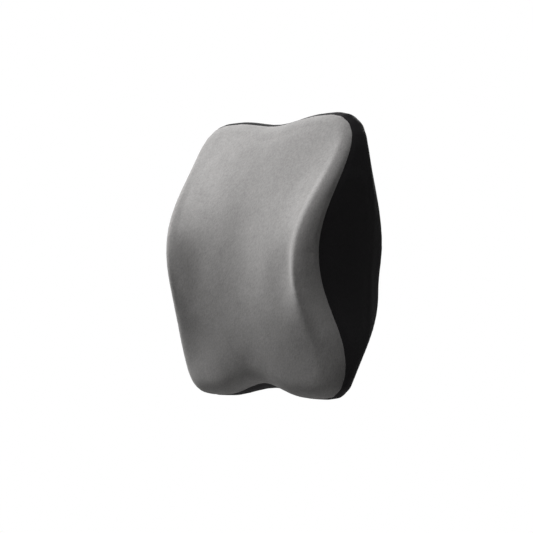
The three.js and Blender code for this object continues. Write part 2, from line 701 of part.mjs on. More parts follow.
// Cuts a strap slot beside the bar at x0 to x0 + WEB_BAR, on the side given by `to`, and thins the bar.
function webCuts(x0, to) {
  const half = STRAP_WIDTH / 2 + 0.7;
  const deep = BUCKLE_THICKNESS;
  const slot = to > 0 ? [x0 + WEB_BAR, x0 + WEB_BAR + WEB_SLOT] : [x0 - WEB_SLOT, x0];
  const thin = [x0 - 2, x0 + WEB_BAR + 0.01];
  const ends = to > 0 ? thin : [x0 - 0.01, x0 + WEB_BAR + 2];
  return [
    solidBlock([slot[0], -deep, -half], [slot[1], deep, half]),
    solidBlock([ends[0], WEB_BAR / 2, -half], [ends[1], deep, half]),
    solidBlock([ends[0], -deep, -half], [ends[1], -WEB_BAR / 2, half]),
  ];
}

function buckleSocket() {
  const shell = buckleShell(SOCKET_END_X, MOUTH_X, BUCKLE_ROUNDED, BUCKLE_MOUTH_RADIUS);
  const cavity = solidBlock(
    [CAVITY_END_X, -CAVITY_HALF_HEIGHT, -CAVITY_HALF_WIDTH],
    [MOUTH_X + 1, CAVITY_HALF_HEIGHT, CAVITY_HALF_WIDTH],
  );
  const windows = solidBlock(
    [WINDOW_REAR_X, -CAVITY_HALF_HEIGHT, -BUCKLE_HALF_WIDTH - 1],
    [WINDOW_FRONT_X, CAVITY_HALF_HEIGHT, BUCKLE_HALF_WIDTH + 1],
  );
  return minus(shell, cavity, windows, ...webCuts(SOCKET_END_X, 1));
}

function bucklePlug() {
  const face = MOUTH_X + 2 * GAP;
  const barX = PLUG_END_X - WEB_BAR;
  const shell = buckleShell(face, PLUG_END_X, BUCKLE_MOUTH_RADIUS, BUCKLE_ROUNDED);
  const base = minus(shell, ...webCuts(barX, -1));
  const arm = (side) => {
    const outline = [
      [face + 1, ARM_INNER],
      [face + 1, ARM_OUTER],
      [WINDOW_FRONT_X + 2, ARM_OUTER],
      [WINDOW_FRONT_X - GAP, ARM_OUTER + 0.6],
      [WINDOW_FRONT_X - GAP, BARB_OUTER - 0.6],
      [WINDOW_FRONT_X - GAP - 1, BARB_OUTER],
      [WINDOW_REAR_X + 4, BARB_OUTER],
      [WINDOW_REAR_X + 1, ARM_OUTER],
      [WINDOW_REAR_X + GAP, ARM_INNER + 1],
      [WINDOW_REAR_X + 1, ARM_INNER],
    ].map(([x, z]) => V2(x, side * z));
    return solidOf(plate(outline, -ARM_HALF_HEIGHT, ARM_HALF_HEIGHT));
  };
  const tongue = plate(
    roundedOutline(WINDOW_REAR_X + 1, face + 1, TONGUE_HALF, TONGUE_RADIUS, 0.1),
    -TONGUE_HALF_HEIGHT,
    TONGUE_HALF_HEIGHT,
  );
  return plus(base, arm(1), arm(-1), solidOf(tongue));
}

// The pillow

const soft = new THREE.Group();
const [backUpper, backLower] = backPanels();
soft.add(
  piece("foam_core", foamCore(), foam),
  piece("front_panel", frontPanel(), velour),
  piece("side_band", sideBand(), knit),
  piece("back_panel_upper", backUpper, knit),
  piece("back_panel_lower", backLower, knit),
);

const zipper = new THREE.Group();
zipper.position.set(0, backDepth(ZIP_Z) - BACK_DEPTH, ZIP_Z);
zipper.rotation.x = zipSlope;
const topStopX = sliderX + SLIDER_LENGTH / 2 + GAP;
const bottomStopX = -ZIP_LENGTH / 2 - STOP_LENGTH - GAP;
zipper.add(
  piece("zipper_tape_upper", tape(1), webbing),
  piece("zipper_tape_lower", tape(-1), webbing),
  piece("zipper_teeth_upper", teethRow(1), plastic),
  piece("zipper_teeth_lower", teethRow(-1), plastic),
  piece("zipper_slider", slider(), metal),
  piece("zipper_pull", pull(), metal),
  piece("zipper_top_stop_upper", stop(topStopX, [1]), metal),
  piece("zipper_top_stop_lower", stop(topStopX, [-1]), metal),
  piece("zipper_bottom_stop", stop(bottomStopX, [-1, 1]), metal),
);

const strap = new THREE.Group();
strap.position.z = BACK_FLAT_Z;
const socketBarX = SOCKET_END_X + WEB_BAR / 2;
const plugBarX = PLUG_END_X - WEB_BAR / 2;
const leftLine = strapLine(-socketBarX, -socketBarX + FOLD_LENGTH);
const rightLine = strapLine(plugBarX, KEEPER_X + TAIL_LENGTH);
strap.add(
  piece("strap_left", ribbon(leftLine, STRAP_THICKNESS, STRAP_WIDTH, -1), webbing),
  piece("strap_right", ribbon(rightLine, STRAP_THICKNESS, STRAP_WIDTH), webbing),
  piece("tail_keeper", keeper(), webbing),
);

const buckle = new THREE.Group();
buckle.position.y = LOOP_OUT;
buckle.add(piece("buckle_socket", buckleSocket(), plastic), piece("buckle_plug", bucklePlug(), plastic));
strap.add(buckle);

const pillow = new THREE.Group();
pillow.position.z = -BACK_FLAT_Z;
pillow.add(soft, zipper, strap);

const neckPillow = new THREE.Group();
neckPillow.add(pillow);

export default neckPillow;
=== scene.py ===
import math

import bmesh
import bpy
import numpy as np
from mathutils import Matrix, Vector
from mathutils.bvhtree import BVHTree


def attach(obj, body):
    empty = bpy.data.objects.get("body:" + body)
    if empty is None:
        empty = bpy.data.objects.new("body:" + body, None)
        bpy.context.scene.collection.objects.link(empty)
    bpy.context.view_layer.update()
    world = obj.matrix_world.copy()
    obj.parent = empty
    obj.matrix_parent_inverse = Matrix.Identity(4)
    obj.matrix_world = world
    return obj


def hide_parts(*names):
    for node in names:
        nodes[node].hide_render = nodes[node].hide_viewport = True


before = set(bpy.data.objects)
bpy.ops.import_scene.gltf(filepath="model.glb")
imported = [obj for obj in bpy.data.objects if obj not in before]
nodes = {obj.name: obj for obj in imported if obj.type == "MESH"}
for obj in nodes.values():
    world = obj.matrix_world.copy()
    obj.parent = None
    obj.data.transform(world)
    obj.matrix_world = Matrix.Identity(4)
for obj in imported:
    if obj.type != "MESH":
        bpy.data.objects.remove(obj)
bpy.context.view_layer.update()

# Foam core
# One moulding of slow memory foam, poured in a closed mould. The cover is pulled tight over it,
# so the foam gives the whole pillow its form and never shows.
MIDDLE = Vector((0, -0.063, 0.018))  # middle of the pillow's outline
ZIP_PLACE = Vector((0, -0.0225, 0.0815))  # on the cover, half way along the zipper
ZIP_TILT = math.atan2(0.46502, 0.88530)
ZIP_OUT = Vector((0, math.cos(ZIP_TILT), math.sin(ZIP_TILT)))
ZIP_UP = Vector((0, -math.sin(ZIP_TILT), math.cos(ZIP_TILT)))
RECESS_BLOCK = (0.182, 0.0115, 0.032)  # along the zipper, through the cover, across the zipper
RECESS_DEPTH = 0.0062  # from the cover to the block's middle
VOXEL = 0.004
DRAWN_IN = 0.0018  # how much smaller the form is before the cover swells
SWELL = 0.0026  # how far the pressure may push a point of the cover
PRESSURE = 4.0
SWELL_STEPS = 20
SUNK = 0.0003  # how far the cover may end up inside the foam mould's line
HOLD_ROUNDS = 3
FOAM_INSET = 0.0034  # from the outside of the cover to the foam
ALLOWANCE_DEPTH = 0.0035  # how much further in the foam lies behind a seam's allowances
ALLOWANCE_WIDTH = 0.006
ZIP_GROOVE = 0.0040  # how much further in it lies behind the zipper
ZIP_GROOVE_HALF = 0.030
GROOVE_START = 0.015  # in front of the back seam, where the groove sets in
GROOVE_FULL = 0.010

# The outline, over and under its middle
HALF_HEIGHT = 0.150
TOP_HALF_WIDTH = 0.116
HIP_HALF_WIDTH = 0.112
WAIST_HALF_WIDTH = 0.1025
WAIST_HEIGHT = -0.035
WAIST_TO_TOP = 0.140
WAIST_TO_HIP = 0.075
ARCH_HALF_WIDTH = 0.058
ARCH_RISE = 0.016

# The wings' inner flanks, which the taut cover presses in. Places across are shares of the half width.
FLANK_PRESSED = 0.0050
FLANK_AT = 0.81
FLANK_OUTWARD = 0.155
FLANK_INWARD = 0.60
FLANK_DOWNWARD = 0.080
DIMPLE = 0.0044  # a shallow dimple in each flank, a little under mid height
DIMPLE_AT = 0.74
DIMPLE_OUTWARD = 0.17
DIMPLE_INWARD = 0.45
DIMPLE_HEIGHT = -0.026
DIMPLE_HALF_HEIGHT = 0.056
PRESS_START = 0.004  # forward of the middle plane, where the press sets in
PRESS_FULL = 0.034  # from there to its full depth

# The low front, which tapers to its edge, most over the arch
LOW_TAPER = 0.20
LOW_REACH = 0.070
LOW_SHARE = 0.15  # of the taper, away from the arch
TAPER_START = 0.006
EASE_PASSES = 44
EASE_START = 0.008  # forward of the middle plane
EASE_BELOW = 0.015  # under the middle, where the easing sets in
EASE_FULL = 0.070

# The seams round the front panel and round the back, as depths from the middle plane
FRONT_PEAK_HEIGHT = 0.012
FRONT_PEAK_DEPTH = 0.048
FRONT_TOP = (0.013, 0.128)  # depth, and height from the peak
FRONT_BOTTOM = (0.0045, 0.138)
BACK_FLAT_HEIGHT = -0.018
BACK_FLAT_HALF = 0.024
BACK_DEPTH = 0.063
BACK_TOP = (0.018, 0.115)  # depth, and height from the end of the flat stretch
BACK_BOTTOM = (0.021, 0.088)
BACK_ROUND = 0.6  # share of the rounded form in the back's profile; the rest is straight
BACK_SEAM_INSET = 0.004
SEAM_SLOPE = 0.85  # turns a distance along Y into one square to the surface


def new_material(name, roughness, metallic=0.0):
    material = bpy.data.materials.new(name)
    material.use_nodes = True
    shader = material.node_tree.nodes["Principled BSDF"]
    shader.inputs["Roughness"].default_value = roughness
    shader.inputs["Metallic"].default_value = metallic
    return material, shader


def add_node(material, kind, **settings):
    node = material.node_tree.nodes.new(kind)
    for key, value in settings.items():
        if key in node.inputs:
            node.inputs[key].default_value = value
        else:
            setattr(node, key, value)
    return node


def wire(material, output, socket):
    material.node_tree.links.new(output, socket)
    return socket.node


def object_coordinates(material, turn=(0, 0, 0), stretch=(1, 1, 1)):
    """The surface's own coordinates, turned, then stretched along the turned axes."""
    place = add_node(material, "ShaderNodeTexCoord")
    mapping = add_node(material, "ShaderNodeMapping", vector_type="TEXTURE", Rotation=turn, Scale=stretch)
    wire(material, place.outputs["Object"], mapping.inputs["Vector"])
    return mapping.outputs["Vector"]


def noise(material, vector, scale, detail=3.0, roughness=0.55):
    node = add_node(material, "ShaderNodeTexNoise", Scale=scale, Detail=detail, Roughness=roughness)
    wire(material, vector, node.inputs["Vector"])
    return node.outputs["Fac"]


def shade(material, factor, stops):
    """Turns a factor into a colour through the given (position, colour) stops."""
    ramp = add_node(material, "ShaderNodeValToRGB")
    elements = ramp.color_ramp.elements
    for element, (position, colour) in zip(elements, stops):
        element.position = position
        element.color = (*colour, 1)
    for position, colour in stops[2:]:
        elements.new(position).color = (*colour, 1)
    wire(material, factor, ramp.inputs["Fac"])
    return ramp.outputs["Color"]


def maths(material, operation, a, b):
    node = add_node(material, "ShaderNodeMath", operation=operation)
    for socket, value in zip(node.inputs, (a, b)):
        if isinstance(value, (int, float)):
            socket.default_value = value
        else:
            wire(material, value, socket)
    return node.outputs["Value"]


def bump(material, shader, height, distance, strength=1.0):
    node = add_node(material, "ShaderNodeBump", Strength=strength, Distance=distance)
    wire(material, height, node.inputs["Height"])
    wire(material, node.outputs["Normal"], shader.inputs["Normal"])


def dress(node, material):
    mesh = nodes[node].data
    mesh.materials.clear()
    mesh.materials.append(material)


def soften(bm, verts, factor, passes=1):
    """Smooths the surface along all three axes."""
    axes = {"use_axis_x": True, "use_axis_y": True, "use_axis_z": True}
    for _ in range(passes):
        bmesh.ops.smooth_vert(bm, verts=verts, factor=factor, **axes)


def mesh_object(name, mesh):
    made = bpy.data.objects.new(name, mesh)
    bpy.context.scene.collection.objects.link(made)
    return made


def object_from(bm, name):
    mesh = bpy.data.meshes.new(name)
    bm.to_mesh(mesh)
    bm.free()
    return mesh_object(name, mesh)


def applied(source, *modifiers):
    """A new mesh: the object's own with the given (type, settings) modifiers on it."""
    for kind, settings in modifiers:
        modifier = source.modifiers.new(kind.lower(), kind)
        for key, value in settings.items():
            setattr(modifier, key, value)
    graph = bpy.context.evaluated_depsgraph_get()
    mesh = bpy.data.meshes.new_from_object(source.evaluated_get(graph))
    source.modifiers.clear()
    return mesh


def points_of(mesh):
    flat = np.empty(len(mesh.vertices) * 3)
    mesh.vertices.foreach_get("co", flat)
    return flat.reshape(-1, 3)


def rough_form():
    """The sewn panels and the foam as one closed body, with the zipper's recess filled."""
    bm = bmesh.new()
    for node in ("front_panel", "side_band", "back_panel_upper", "back_panel_lower", "foam_core"):
        bm.from_mesh(nodes[node].data)
    filled = ZIP_PLACE - ZIP_OUT * RECESS_DEPTH
    turn = Matrix.Rotation(ZIP_TILT, 4, "X")
    size = Matrix.Diagonal((*RECESS_BLOCK, 1))
    bmesh.ops.create_cube(bm, size=1, matrix=Matrix.Translation(filled) @ turn @ size)
    bmesh.ops.remove_doubles(bm, verts=bm.verts, dist=1e-6)
    return object_from(bm, "rough_form")


def swell(form):
    """Lets air pressure push the form out like a filled cover, with a limit on how far."""
    start = points_of(form.data)
    cloth = form.modifiers.new("cloth", "CLOTH")
    cloth.settings.quality = 5
    cloth.settings.use_pressure = True
    cloth.settings.uniform_pressure_force = PRESSURE
    cloth.settings.tension_stiffness = 20
    cloth.settings.compression_stiffness = 20
    cloth.settings.bending_stiffness = 2
    cloth.settings.effector_weights.gravity = 0
    for step in range(1, SWELL_STEPS + 1):
        bpy.context.scene.frame_set(step)
    graph = bpy.context.evaluated_depsgraph_get()
    swollen = points_of(form.evaluated_get(graph).to_mesh())
    form.evaluated_get(graph).to_mesh_clear()
    form.modifiers.clear()
    bpy.context.scene.frame_set(1)
    moved = swollen - start
    far = np.linalg.norm(moved, axis=1, keepdims=True)
    moved *= np.minimum(1.0, SWELL / np.maximum(far, 1e-9))
    form.data.vertices.foreach_set("co", (start + moved).ravel())
    form.data.update()


def hold_out(bm, firm):
    """Pushes the cover back out to the foam wherever it was drawn in further than that."""
    for _ in range(HOLD_ROUNDS):
        bm.normal_update()
        pushes = []
        for vert in bm.verts:
            place, normal, _, far = firm.find_nearest(vert.co)
            depth = far if (vert.co - place).dot(normal) < 0 else -far
            pushes.append(max(0.0, depth - SUNK))
        for _ in range(4):
            pushes = [
                (push + sum(pushes[edge.other_vert(vert).index] for edge in vert.link_edges))
                / (1 + len(vert.link_edges))
                for vert, push in zip(bm.verts, pushes)
            ]
        for vert, push in zip(bm.verts, pushes):
            vert.co += vert.normal * push
        soften(bm, bm.verts, 0.3)


def hump(share):
    """1 at 0, falling smoothly to 0 at -1 and 1."""
    return math.cos(math.pi / 2 * max(-1.0, min(1.0, share))) ** 2


def uneven_hump(distance, over, under):
    """A hump that falls to 0 at `over` on its positive side and at `under` on the other."""
    return hump(distance / (over if distance > 0 else under))


def half_width(height):
    """Half the width of the outline at a height over its middle."""
    widest = TOP_HALF_WIDTH if height > WAIST_HEIGHT else HIP_HALF_WIDTH
    narrowed = uneven_hump(height - WAIST_HEIGHT, WAIST_TO_TOP, WAIST_TO_HIP)
    return widest - (widest - WAIST_HALF_WIDTH) * narrowed


def press_front(bm):
    """The taut cover spans from the crests to the cradle and presses the foam between them in."""
    for vert in bm.verts:
        forward = MIDDLE.y - vert.co.y
        height = vert.co.z - MIDDLE.z
        across = abs(vert.co.x) / half_width(height)
        flank = uneven_hump(across - FLANK_AT, FLANK_OUTWARD, FLANK_INWARD)
        flank *= uneven_hump(height, HALF_HEIGHT, FLANK_DOWNWARD)
        dimple = uneven_hump(across - DIMPLE_AT, DIMPLE_OUTWARD, DIMPLE_INWARD)
        dimple *= hump((height - DIMPLE_HEIGHT) / DIMPLE_HALF_HEIGHT)
        arch = hump(vert.co.x / ARCH_HALF_WIDTH)
        over_edge = height + HALF_HEIGHT - ARCH_RISE * arch
        low = max(0.0, 1 - over_edge / LOW_REACH) ** 2 * (LOW_SHARE + (1 - LOW_SHARE) * arch)
        taper = max(0.0, forward - TAPER_START) * low * LOW_TAPER
        pressed = 1 - hump(max(0.0, forward - PRESS_START) / PRESS_FULL)
        vert.co.y += (flank * FLANK_PRESSED + dimple * DIMPLE) * pressed + taper


def ease_low_front(bm):
    """The padding bridges the crests and the arch in the low half, so that they fade out."""
    low = [vert for vert in bm.verts if vert.co.y < MIDDLE.y - EASE_START and vert.co.z < MIDDLE.z]
    before = [vert.co.copy() for vert in low]
    soften(bm, low, 0.5, EASE_PASSES)
    for vert, start in zip(low, before):
        share = 1 - hump(max(0.0, MIDDLE.z - EASE_BELOW - start.z) / EASE_FULL)
        vert.co = start.lerp(vert.co, share)


def stuffed_form():
    """The form of the filled pillow, as one closed mesh."""
    rough = rough_form()
    firm_mesh = applied(rough, ("REMESH", {"mode": "VOXEL", "voxel_size": VOXEL / 2}))
    remesh = {"mode": "VOXEL", "voxel_size": VOXEL, "use_smooth_shade": True}
    even = applied(rough, ("REMESH", remesh), ("SMOOTH", {"factor": 0.5, "iterations": 6}))
    bpy.data.objects.remove(rough)
    form = mesh_object("stuffed_form", even)
    bm = bmesh.new()
    bm.from_mesh(form.data)
    bm.normal_update()
    for vert in bm.verts:
        vert.co -= vert.normal * DRAWN_IN
    bm.to_mesh(form.data)
    bm.free()
    swell(form)
    fine = applied(form, ("SUBSURF", {"levels": 1, "render_levels": 1}))
    bpy.data.objects.remove(form)
    firm = bmesh.new()
    firm.from_mesh(firm_mesh)
    firm.normal_update()
    bm = bmesh.new()
    bm.from_mesh(fine)
    bm.verts.ensure_lookup_table()
    bm.verts.index_update()
    hold_out(bm, BVHTree.FromBMesh(firm))
    press_front(bm)
    ease_low_front(bm)
    bm.to_mesh(fine)
    bm.free()
    firm.free()
    return fine


def front_seam(z):
    """How far back the seam round the front panel lies at a height."""
    height = z - MIDDLE.z
    low, fall = FRONT_BOTTOM if height < FRONT_PEAK_HEIGHT else FRONT_TOP
    return MIDDLE.y - low - (FRONT_PEAK_DEPTH - low) * hump((height - FRONT_PEAK_HEIGHT) / fall)


def back_seam(z):
    """How far back the seam round the back lies at a height."""
    height = z - MIDDLE.z
    beyond = max(0.0, abs(height - BACK_FLAT_HEIGHT) - BACK_FLAT_HALF)
    low, fall = BACK_TOP if height > BACK_FLAT_HEIGHT else BACK_BOTTOM
    fallen = min(1.0, beyond / fall)
    profile = BACK_ROUND * hump(fallen) + (1 - BACK_ROUND) * (1 - fallen)
    return MIDDLE.y - BACK_SEAM_INSET + low + (BACK_DEPTH - low) * profile


def drawn_along(bm, distance, depth, width):
    """Draws the surface in along a seam, where distance(point) is 0."""
    bm.normal_update()
    pulls = [depth * math.exp(-((distance(vert.co) / width) ** 2)) for vert in bm.verts]
    for vert, pull in zip(bm.verts, pulls):
        vert.co -= vert.normal * pull


def draw_seams(bm, depth, width):
    """Draws the surface in along the front seam, the back seam and the seam with the zipper."""
    drawn_along(bm, lambda p: (p.y - front_seam(p.z)) * SEAM_SLOPE, depth, width)
    drawn_along(bm, lambda p: (p.y - back_seam(p.z)) * SEAM_SLOPE, depth, width)
    drawn_along(bm, lambda p: (p - ZIP_PLACE).dot(ZIP_UP) if p.y > back_seam(p.z) else 1.0, depth, width)


swollen_mesh = stuffed_form()

foam, foam_shader = new_material("moulded_foam", 0.95)
cells = noise(foam, object_coordinates(foam), 900)
foam_tones = [(0.3, (0.62, 0.56, 0.43)), (0.7, (0.80, 0.75, 0.62))]
wire(foam, shade(foam, cells, foam_tones), foam_shader.inputs["Base Color"])
bump(foam, foam_shader, cells, 0.0004, 0.5)
moulding = bmesh.new()
moulding.from_mesh(swollen_mesh)
moulding.normal_update()
for vert in moulding.verts:
    vert.co -= vert.normal * FOAM_INSET
draw_seams(moulding, ALLOWANCE_DEPTH, ALLOWANCE_WIDTH)
for vert in moulding.verts:
    past = vert.co.y - back_seam(vert.co.z) + GROOVE_START
    behind = min(1.0, max(0.0, past / GROOVE_FULL))
    groove = hump((vert.co - ZIP_PLACE).dot(ZIP_UP) / ZIP_GROOVE_HALF)
    vert.co -= vert.normal * ZIP_GROOVE * groove * behind
soften(moulding, moulding.verts, 0.5)
moulded_foam = object_from(moulding, "foam_moulding")
moulded_foam.data.materials.append(foam)
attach(moulded_foam, "pillow")
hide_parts("foam_core")

# Front panel
# Light grey polyester velour with a thin padding, cut in one piece and stretched over both wings
# and the cradle, then turned over the ridge and sewn to the side band.
SEAM_DEPTH = 0.0010
SEAM_WIDTH = 0.0035
HALF_GAP = 0.00015  # from a seam's middle to each panel
COVER_THICKNESS = 0.002
FOLD_RADIUS = 0.0007
SHARP = math.radians(50)  # the least angle of an edge that gets rounded
form = bmesh.new()
form.from_mesh(swollen_mesh)
draw_seams(form, SEAM_DEPTH, SEAM_WIDTH)


def keep_behind(bm, seam, side):
    """Cuts the skin along a seam and keeps what lies behind it (side 1) or in front (side -1)."""
    gap = HALF_GAP * side
    for vert in bm.verts:
        vert.co.y -= seam(vert.co.z) + gap
    everything = bm.verts[:] + bm.edges[:] + bm.faces[:]
    bmesh.ops.bisect_plane(
        bm,
        geom=everything,
        dist=1e-6,
        plane_co=(0, 0, 0),
        plane_no=(0, side, 0),
        clear_inner=True,
    )
    for vert in bm.verts:
        vert.co.y += seam(vert.co.z) + gap


def cut_plane(bm, place, normal):
    """Keeps the part of the skin on the side of the plane that its normal points to."""
    everything = bm.verts[:] + bm.edges[:] + bm.faces[:]
    bmesh.ops.bisect_plane(bm, geom=everything, dist=1e-6, plane_co=place, plane_no=normal, clear_inner=True)


def cover_panel(bm, name, material, node):
    """Gives a cut skin its thickness and turned edges, and sets it in the place of its node."""
    for face in bm.faces:
        face.smooth = True
    panel = object_from(bm, name)
    thickness = {"thickness": COVER_THICKNESS, "offset": -1, "use_even_offset": True}
    turned = {"width": FOLD_RADIUS, "segments": 3, "limit_method": "ANGLE", "angle_limit": SHARP}
    finished = applied(panel, ("SOLIDIFY", thickness), ("BEVEL", turned))
    old = panel.data
    panel.data = finished
    bpy.data.meshes.remove(old)
    finished.materials.clear()
    finished.materials.append(material)
    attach(panel, "pillow")
    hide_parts(node)
    return panel


def weighted_sum(material, *parts):
    """Adds up (factor, weight) pairs."""
    total = 0.0
    for factor, weight in parts:
        total = maths(material, "ADD", total, maths(material, "MULTIPLY", factor, weight))
    return total


velour, velour_shader = new_material("grey_velour", 0.9)
lie = (0, math.radians(34), 0)  # the way the pile is brushed
nap = noise(velour, object_coordinates(velour, lie, (1, 1, 2.4)), 760, 2.0, 0.6)
pile = noise(velour, object_coordinates(velour, lie, (1, 1, 1.6)), 1900, 2.0, 0.6)
brushed = noise(velour, object_coordinates(velour, lie, (1, 1, 1.8)), 70, 3.0, 0.55)
mottle = weighted_sum(velour, (nap, 0.48), (pile, 0.34), (brushed, 0.18))
velour_tones = [(0.36, (0.315, 0.308, 0.305)), (0.64, (0.465, 0.455, 0.450))]
wire(velour, shade(velour, mottle, velour_tones), velour_shader.inputs["Base Color"])
velour_shader.inputs["Sheen Weight"].default_value = 0.34
velour_shader.inputs["Sheen Roughness"].default_value = 0.30
velour_shader.inputs["Sheen Tint"].default_value = (0.97, 0.96, 0.95, 1)
velour_shader.inputs["Specular IOR Level"].default_value = 0.1
bump(velour, velour_shader, mottle, 0.0006, 0.5)

front = form.copy()
keep_behind(front, front_seam, -1)
cover_panel(front, "front_pad", velour, "front_panel")

# Side band
# Black warp knit, one strip sewn round the whole edge between the front panel and the back.
# Its ends meet under the pillow.
KNIT_PITCH = 0.0011
knit, knit_shader = new_material("black_knit", 0.85)
loops = add_node(knit, "ShaderNodeTexVoronoi", Scale=1 / KNIT_PITCH, Randomness=0.7)
wire(knit, object_coordinates(knit), loops.inputs["Vector"])
fuzz = noise(knit, object_coordinates(knit), 700, 3.0, 0.6)
knit_tones = [(0.3, (0.0095, 0.0088, 0.0098)), (0.7, (0.0175, 0.0163, 0.0180))]
wire(knit, shade(knit, fuzz, knit_tones), knit_shader.inputs["Base Color"])
knit_shader.inputs["Sheen Weight"].default_value = 0.05
knit_shader.inputs["Specular IOR Level"].default_value = 0.2
bump(knit, knit_shader, loops.outputs["Distance"], 0.00035, 0.6)
side = form.copy()
keep_behind(side, front_seam, 1)
keep_behind(side, back_seam, -1)
cover_panel(side, "side_pad", knit, "side_band")

# Back panels
# The same black knit in two panels. They meet in one seam across the back, which is left open
# over the zipper, with both edges folded under and top-stitched to its tapes.
WINDOW_HALF_LENGTH = 0.0835
WINDOW_HALF_WIDTH = 0.0047


def back_half(way):
    """The skin of one back panel: way is 1 for the upper one and -1 for the lower one."""
    panel = form.copy()
    keep_behind(panel, back_seam, 1)
    cut_plane(panel, ZIP_PLACE + ZIP_UP * HALF_GAP * way, ZIP_UP * way)
    for place, normal in (
        (ZIP_PLACE + ZIP_UP * WINDOW_HALF_WIDTH * way, ZIP_UP),
        (ZIP_PLACE + Vector((WINDOW_HALF_LENGTH, 0, 0)), Vector((1, 0, 0))),
        (ZIP_PLACE - Vector((WINDOW_HALF_LENGTH, 0, 0)), Vector((1, 0, 0))),
    ):
        everything = panel.verts[:] + panel.edges[:] + panel.faces[:]
        bmesh.ops.bisect_plane(panel, geom=everything, dist=1e-6, plane_co=place, plane_no=normal)
    gone = []
    for face in panel.faces:
        middle = face.calc_center_median() - ZIP_PLACE
        if abs(middle.x) < WINDOW_HALF_LENGTH and abs(middle.dot(ZIP_UP)) < WINDOW_HALF_WIDTH:
            gone.append(face)
    bmesh.ops.delete(panel, geom=gone, context="FACES")
    return panel


back_upper = cover_panel(back_half(1), "back_pad_upper", knit, "back_panel_upper")
back_lower = cover_panel(back_half(-1), "back_pad_lower", knit, "back_panel_lower")
form.free()

# Zipper
# A moulded-tooth zipper on two woven tapes, sewn under the folded edges. The slider and its pull
# are black lacquered metal, as are the stops crimped at both ends of the chain.
TWILL_PITCH = 0.0008
TAPE_HALF_LENGTH = 0.087
TAPE_INNER = 0.0001  # from the chain's middle to the tape
TAPE_OUTER = 0.0135
TAPE_TOP = 0.0029  # under the cover
TAPE_THICKNESS = 0.0007
tape_weave, tape_shader = new_material("zipper_tape", 0.85)
twill = object_coordinates(tape_weave, (0, math.radians(45), 0), (TWILL_PITCH / (2 * math.pi),) * 3)
twill_wave = add_node(tape_weave, "ShaderNodeVectorMath", operation="SINE")
wire(tape_weave, twill, twill_wave.inputs[0])
twill_split = add_node(tape_weave, "ShaderNodeSeparateXYZ")
wire(tape_weave, twill_wave.outputs["Vector"], twill_split.inputs["Vector"])
bump(tape_weave, tape_shader, twill_split.outputs["X"], 0.00012, 0.7)
tape_fuzz = noise(tape_weave, object_coordinates(tape_weave), 1200)
tape_tones = [(0.3, (0.015, 0.014, 0.015)), (0.7, (0.028, 0.026, 0.028))]
wire(tape_weave, shade(tape_weave, tape_fuzz, tape_tones), tape_shader.inputs["Base Color"])


def moulded(name, dark, light, roughness, metallic=0.0):
    """A hard, finely grained material with a slightly clouded colour."""
    material, shader = new_material(name, roughness, metallic)
    grain = noise(material, object_coordinates(material), 2600, 2.0, 0.5)
    cloud = noise(material, object_coordinates(material), 160, 2.0, 0.5)
    wire(material, shade(material, cloud, [(0.3, dark), (0.7, light)]), shader.inputs["Base Color"])
    dull = [(0.3, (roughness - 0.06,) * 3), (0.7, (roughness + 0.08,) * 3)]
    wire(material, shade(material, grain, dull), shader.inputs["Roughness"])
    bump(material, shader, grain, 0.00006, 0.5)
    return material


tooth_plastic = moulded("tooth_plastic", (0.018, 0.018, 0.019), (0.027, 0.027, 0.028), 0.35)
lacquer = moulded("lacquered_metal", (0.045, 0.045, 0.048), (0.065, 0.065, 0.069), 0.3, 0.85)
for node in ("zipper_teeth_upper", "zipper_teeth_lower"):
    dress(node, tooth_plastic)
for node in (
    "zipper_slider",
    "zipper_pull",
    "zipper_top_stop_upper",
    "zipper_top_stop_lower",
    "zipper_bottom_stop",
):
    dress(node, lacquer)


def zipper_tape(way):
    """One tape with its rounded edges: way is 1 for the upper one and -1 for the lower one."""
    middle = ZIP_PLACE + ZIP_UP * way * (TAPE_INNER + TAPE_OUTER) / 2
    middle -= ZIP_OUT * (TAPE_TOP + TAPE_THICKNESS / 2)
    turn = Matrix.Rotation(ZIP_TILT, 4, "X")
    size = Matrix.Diagonal((2 * TAPE_HALF_LENGTH, TAPE_THICKNESS, TAPE_OUTER - TAPE_INNER, 1))
    bm = bmesh.new()
    bmesh.ops.create_cube(bm, size=1, matrix=Matrix.Translation(middle) @ turn @ size)
    bmesh.ops.bevel(
        bm,
        geom=bm.edges[:],
        offset=0.0002,
        segments=2,
        profile=0.5,
        affect="EDGES",
        material=-1,
    )
    side_name = "upper" if way > 0 else "lower"
    tape = object_from(bm, "woven_tape_" + side_name)
    tape.data.materials.append(tape_weave)
    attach(tape, "pillow")
    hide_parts("zipper_tape_" + side_name)


zipper_tape(1)
zipper_tape(-1)

# Strap
# Two lengths of 25 mm black woven elastic. The outer end of each is sewn flat to the back, and
# the inner end goes round a buckle bar: the left one is sewn back on itself, and the right one's
# tail can be pulled through to tighten it.
STRAP_WIDTH = 0.025
STRAP_THICKNESS = 0.0016
LAYERS_APART = 0.0019
LOOP_OUT = 0.013
TAB_END = 0.082
TAB_START = 0.064
RUN = 0.036
TAB_Y = 0.0011
PLAY = 0.0003
BAR = 0.003  # each side of the buckle's square bars
SOCKET_BAR_X = 0.0245
PLUG_BAR_X = 0.0195
LEFT_TAIL_X = 0.0425
RIGHT_TAIL_X = 0.059
TAB_STEPS = 6
RISE_STEPS = 12
TURN_STEPS = 12
LEAD_NEAR = 0.0045  # from the bar, where the two layers start to close up
LEAD_FAR = 0.008
LEAD_SHARE = 0.6
WEFT_PITCH = 0.0009
WARP_PITCH = 0.0017


def ripple(material, place, pitch):
    return maths(material, "SINE", maths(material, "MULTIPLY", place, 2 * math.pi / pitch), 0)


